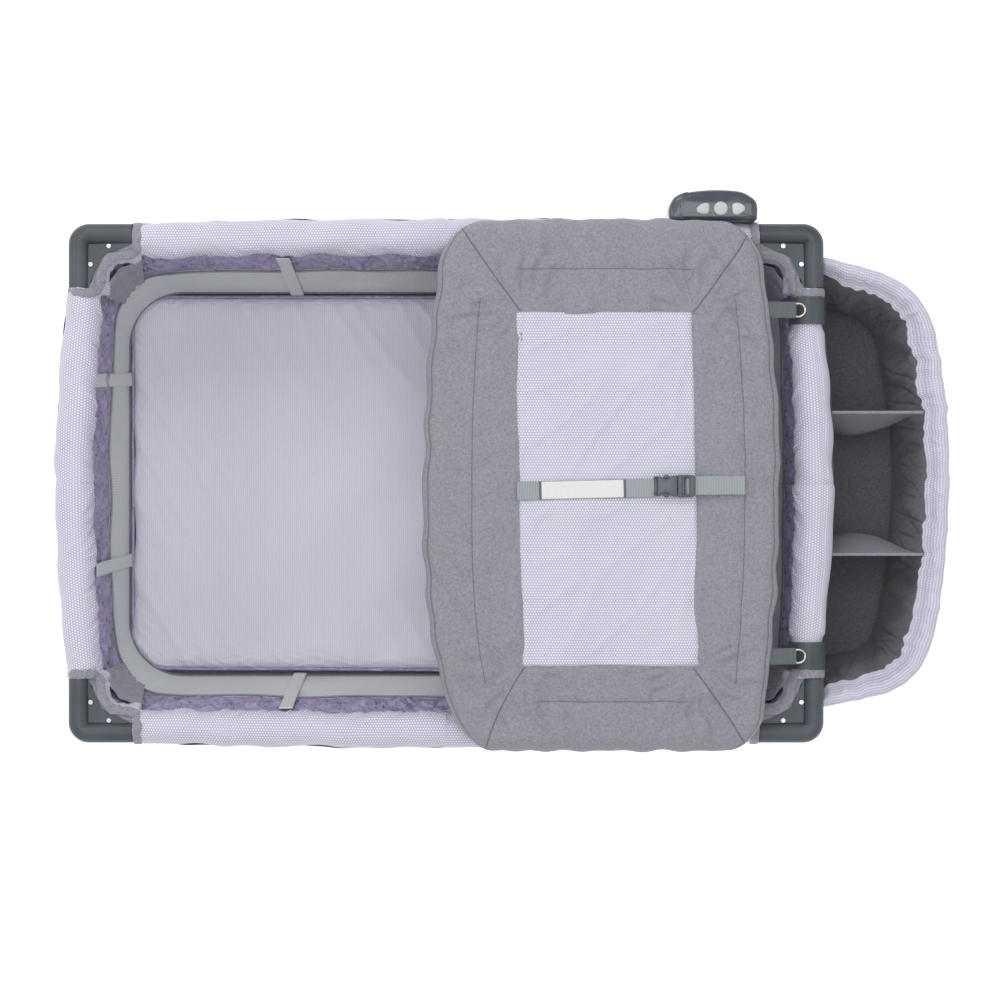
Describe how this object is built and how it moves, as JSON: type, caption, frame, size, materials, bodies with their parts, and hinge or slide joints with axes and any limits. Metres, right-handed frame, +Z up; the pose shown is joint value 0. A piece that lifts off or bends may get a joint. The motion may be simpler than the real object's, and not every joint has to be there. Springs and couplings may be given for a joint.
{
  "type": "playpen",
  "caption": "Folding playpen with upright legs, hinged top rails, fabric sides, a hung bassinet, a strapped changer, a music module and a side caddy.",
  "frame": {"origin": "on the floor under the middle of the floor hub, on the face that the hub's foot rests on", "axes": "+X along the long rails towards the caddy, +Y towards the music module, +Z up"},
  "size_m": [1.227, 0.765, 0.7773],
  "materials": {
    "slate_plastic": "satin moulded",
    "grey_tube": "powder coated",
    "steel_pin": "zinc plated",
    "wheel_rubber": "matt",
    "honeycomb_fabric": "woven honeycomb",
    "panel_mesh": "mesh",
    "heather_fabric": "heather weave",
    "dark_heather": "heather weave",
    "satin_nylon": "satin",
    "grey_webbing": "woven webbing",
    "buckle_plastic": "moulded",
    "ring_wire": "plated wire",
    "module_plastic": "gloss moulded",
    "key_plastic": "satin moulded"
  },
  "bodies": {
    "post_FL": {"leg_tube_FL": "grey_tube", "corner_casting_FL": "slate_plastic", "foot_FL": "slate_plastic", "pins_FL": "steel_pin", "side_cover_front": "honeycomb_fabric"},
    "post_FR": {"leg_tube_FR": "grey_tube", "corner_casting_FR": "slate_plastic", "foot_FR": "slate_plastic", "pins_FR": "steel_pin", "side_cover_right": "honeycomb_fabric"},
    "post_BR": {"leg_tube_BR": "grey_tube", "corner_casting_BR": "slate_plastic", "foot_BR": "slate_plastic", "pins_BR": "steel_pin", "side_cover_back": "honeycomb_fabric"},
    "post_BL": {"leg_tube_BL": "grey_tube", "corner_casting_BL": "slate_plastic", "foot_BL": "slate_plastic", "pins_BL": "steel_pin", "side_cover_left": "honeycomb_fabric"},
    "strut_FL": {"floor_strut_FL": "grey_tube"},
    "hub": {"floor_hub": "slate_plastic"},
    "strut_FR": {"floor_strut_FR": "grey_tube"},
    "strut_BR": {"floor_strut_BR": "grey_tube"},
    "strut_BL": {"floor_strut_BL": "grey_tube"},
    "rail_front_left": {"rail_front_left": "grey_tube"},
    "bracket_front": {"latch_bracket_front": "steel_pin"},
    "latch_front": {"latch_button_front": "slate_plastic"},
    "rail_front_right": {"rail_front_right": "grey_tube"},
    "rail_back_right": {"rail_back_right": "grey_tube", "module_housing": "module_plastic"},
    "bracket_back": {"latch_bracket_back": "steel_pin"},
    "latch_back": {"latch_button_back": "slate_plastic"},
    "rail_back_left": {"rail_back_left": "grey_tube"},
    "rail_left_back": {"rail_left_back": "grey_tube"},
    "bracket_left": {"latch_bracket_left": "steel_pin"},
    "latch_left": {"latch_button_left": "slate_plastic"},
    "rail_left_front": {"rail_left_front": "grey_tube"},
    "rail_right_front": {"rail_right_front": "grey_tube"},
    "bracket_right": {"latch_bracket_right": "steel_pin"},
    "latch_right": {"latch_button_right": "slate_plastic"},
    "rail_right_back": {"rail_right_back": "grey_tube"},
    "key_left": {"module_key_left": "key_plastic"},
    "key_centre": {"module_key_centre": "key_plastic"},
    "key_right": {"module_key_right": "key_plastic"},
    "wheel_FL": {"wheel_FL": "wheel_rubber"},
    "wheel_BL": {"wheel_BL": "wheel_rubber"},
    "bassinet": {"bassinet_shell": "satin_nylon", "mattress": "honeycomb_fabric", "mattress_rods": "grey_tube", "floor_panel": "dark_heather"},
    "changer": {"changer_pad": "heather_fabric", "changer_tube_loop": "grey_tube", "belt_long": "grey_webbing", "belt_short_and_straps": "grey_webbing", "buckle_tongue": "buckle_plastic", "rail_clips": "slate_plastic", "strap_rings": "ring_wire"},
    "buckle_socket": {"buckle_socket": "buckle_plastic"},
    "organiser": {"organiser_shell": "dark_heather"}
  },
  "joints": [
    {"name": "frame_fold", "type": "hinge", "parent": "post_FL", "child": "strut_FL", "pos_m": [-0.48262, -0.30079, 0.03], "axis": [0.5289, -0.8487, 0], "range_deg": [0, 82], "deforming": ["side_cover_front", "side_cover_back", "side_cover_left", "side_cover_right", "floor_panel"]},
    {"name": "hub_level", "type": "hinge", "parent": "strut_FL", "child": "hub", "pos_m": [-0.05262, -0.03279, 0.03], "axis": [-0.5289, 0.8487, 0], "range_deg": [0, 82]},
    {"name": "strut_FR_lift", "type": "hinge", "parent": "hub", "child": "strut_FR", "pos_m": [0.05262, -0.03279, 0.03], "axis": [0.5289, 0.8487, 0], "range_deg": [0, 82]},
    {"name": "post_FR_upright", "type": "hinge", "parent": "strut_FR", "child": "post_FR", "pos_m": [0.48262, -0.30079, 0.03], "axis": [-0.5289, -0.8487, 0], "range_deg": [0, 82]},
    {"name": "strut_BR_lift", "type": "hinge", "parent": "hub", "child": "strut_BR", "pos_m": [0.05262, 0.03279, 0.03], "axis": [-0.5289, 0.8487, 0], "range_deg": [0, 82]},
    {"name": "post_BR_upright", "type": "hinge", "parent": "strut_BR", "child": "post_BR", "pos_m": [0.48262, 0.30079, 0.03], "axis": [0.5289, -0.8487, 0], "range_deg": [0, 82]},
    {"name": "strut_BL_lift", "type": "hinge", "parent": "hub", "child": "strut_BL", "pos_m": [-0.05262, 0.03279, 0.03], "axis": [-0.5289, -0.8487, 0], "range_deg": [0, 82]},
    {"name": "post_BL_upright", "type": "hinge", "parent": "strut_BL", "child": "post_BL", "pos_m": [-0.48262, 0.30079, 0.03], "axis": [0.5289, 0.8487, 0], "range_deg": [0, 82]},
    {"name": "rail_front_left_drop", "type": "hinge", "parent": "post_FL", "child": "rail_front_left", "pos_m": [-0.46, -0.339, 0.7], "axis": [0, 1, 0], "range_deg": [0, 82]},
    {"name": "bracket_front_level", "type": "hinge", "parent": "rail_front_left", "child": "bracket_front", "pos_m": [-0.03, -0.339, 0.7], "axis": [0, -1, 0], "range_deg": [0, 82]},
    {"name": "latch_front_press", "type": "slide", "parent": "bracket_front", "child": "latch_front", "axis": [0, 0, 1], "range_m": [0, 0.0035], "stiffness_N_per_m": 300},
    {"name": "rail_front_right_drop", "type": "hinge", "parent": "post_FR", "child": "rail_front_right", "pos_m": [0.46, -0.339, 0.7], "axis": [0, -1, 0], "range_deg": [0, 82]},
    {"name": "rail_back_right_drop", "type": "hinge", "parent": "post_BR", "child": "rail_back_right", "pos_m": [0.46, 0.339, 0.7], "axis": [0, -1, 0], "range_deg": [0, 82]},
    {"name": "bracket_back_level", "type": "hinge", "parent": "rail_back_right", "child": "bracket_back", "pos_m": [0.03, 0.339, 0.7], "axis": [0, 1, 0], "range_deg": [0, 82]},
    {"name": "latch_back_press", "type": "slide", "parent": "bracket_back", "child": "latch_back", "axis": [0, 0, 1], "range_m": [0, 0.0035], "stiffness_N_per_m": 300},
    {"name": "rail_back_left_drop", "type": "hinge", "parent": "post_BL", "child": "rail_back_left", "pos_m": [-0.46, 0.339, 0.7], "axis": [0, 1, 0], "range_deg": [0, 82]},
    {"name": "rail_left_back_drop", "type": "hinge", "parent": "post_BL", "child": "rail_left_back", "pos_m": [-0.501, 0.298, 0.7], "axis": [1, 0, 0], "range_deg": [0, 82]},
    {"name": "bracket_left_level", "type": "hinge", "parent": "rail_left_back", "child": "bracket_left", "pos_m": [-0.501, 0.03, 0.7], "axis": [-1, 0, 0], "range_deg": [0, 82]},
    {"name": "latch_left_press", "type": "slide", "parent": "bracket_left", "child": "latch_left", "axis": [0, 0, 1], "range_m": [0, 0.0035], "stiffness_N_per_m": 300},
    {"name": "rail_left_front_drop", "type": "hinge", "parent": "post_FL", "child": "rail_left_front", "pos_m": [-0.501, -0.298, 0.7], "axis": [-1, 0, 0], "range_deg": [0, 82]},
    {"name": "rail_right_front_drop", "type": "hinge", "parent": "post_FR", "child": "rail_right_front", "pos_m": [0.501, -0.298, 0.7], "axis": [-1, 0, 0], "range_deg": [0, 82]},
    {"name": "bracket_right_level", "type": "hinge", "parent": "rail_right_front", "child": "bracket_right", "pos_m": [0.501, -0.03, 0.7], "axis": [1, 0, 0], "range_deg": [0, 82]},
    {"name": "latch_right_press", "type": "slide", "parent": "bracket_right", "child": "latch_right", "axis": [0, 0, 1], "range_m": [0, 0.0035], "stiffness_N_per_m": 300},
    {"name": "rail_right_back_drop", "type": "hinge", "parent": "post_BR", "child": "rail_right_back", "pos_m": [0.501, 0.298, 0.7], "axis": [1, 0, 0], "range_deg": [0, 82]},
    {"name": "module_key_left_press", "type": "slide", "parent": "rail_back_right", "child": "key_left", "axis": [0, 0, -1], "range_m": [0, 0.0015], "stiffness_N_per_m": 300, "springref_m": -0.0002},
    {"name": "module_key_centre_press", "type": "slide", "parent": "rail_back_right", "child": "key_centre", "axis": [0, 0, -1], "range_m": [0, 0.0015], "stiffness_N_per_m": 300, "springref_m": -0.0002},
    {"name": "module_key_right_press", "type": "slide", "parent": "rail_back_right", "child": "key_right", "axis": [0, 0, -1], "range_m": [0, 0.0015], "stiffness_N_per_m": 300, "springref_m": -0.0002},
    {"name": "wheel_FL_spin", "type": "hinge", "parent": "post_FL", "child": "wheel_FL", "pos_m": [-0.515, -0.339, 0.022], "axis": [0, 1, 0], "continuous": true},
    {"name": "wheel_BL_spin", "type": "hinge", "parent": "post_BL", "child": "wheel_BL", "pos_m": [-0.515, 0.339, 0.022], "axis": [0, 1, 0], "continuous": true},
    {"name": "accessories_lift_off", "type": "slide", "parent": "hub", "child": "bassinet", "axis": [0, 0, 1], "range_m": [0, 0.58]},
    {"name": "changer_flip", "type": "hinge", "parent": "bassinet", "child": "changer", "pos_m": [0.496, 0, 0.7], "axis": [0, 1, 0], "range_deg": [0, 95]},
    {"name": "buckle_release", "type": "slide", "parent": "changer", "child": "buckle_socket", "axis": [-1, 0, 0], "range_m": [0, 0.03], "deforming": ["belt_long"]},
    {"name": "organiser_swing", "type": "hinge", "parent": "bassinet", "child": "organiser", "pos_m": [0.496, 0, 0.7], "axis": [0, -1, 0], "range_deg": [0, 12]}
  ],
  "couplings": [
    {"joint": "hub_level", "follows": "frame_fold", "ratio": 1},
    {"joint": "strut_FR_lift", "follows": "frame_fold", "ratio": 1},
    {"joint": "post_FR_upright", "follows": "frame_fold", "ratio": 1},
    {"joint": "strut_BR_lift", "follows": "frame_fold", "ratio": 1},
    {"joint": "post_BR_upright", "follows": "frame_fold", "ratio": 1},
    {"joint": "strut_BL_lift", "follows": "frame_fold", "ratio": 1},
    {"joint": "post_BL_upright", "follows": "frame_fold", "ratio": 1},
    {"joint": "rail_front_left_drop", "follows": "frame_fold", "ratio": 1},
    {"joint": "bracket_front_level", "follows": "frame_fold", "ratio": 1},
    {"joint": "rail_front_right_drop", "follows": "frame_fold", "ratio": 1},
    {"joint": "rail_back_right_drop", "follows": "frame_fold", "ratio": 1},
    {"joint": "bracket_back_level", "follows": "frame_fold", "ratio": 1},
    {"joint": "rail_back_left_drop", "follows": "frame_fold", "ratio": 1},
    {"joint": "rail_left_back_drop", "follows": "frame_fold", "ratio": 1},
    {"joint": "bracket_left_level", "follows": "frame_fold", "ratio": 1},
    {"joint": "rail_left_front_drop", "follows": "frame_fold", "ratio": 1},
    {"joint": "rail_right_front_drop", "follows": "frame_fold", "ratio": 1},
    {"joint": "bracket_right_level", "follows": "frame_fold", "ratio": 1},
    {"joint": "rail_right_back_drop", "follows": "frame_fold", "ratio": 1},
    {"joint": "accessories_lift_off", "follows": "frame_fold", "m_per_rad": 0.4}
  ]
}
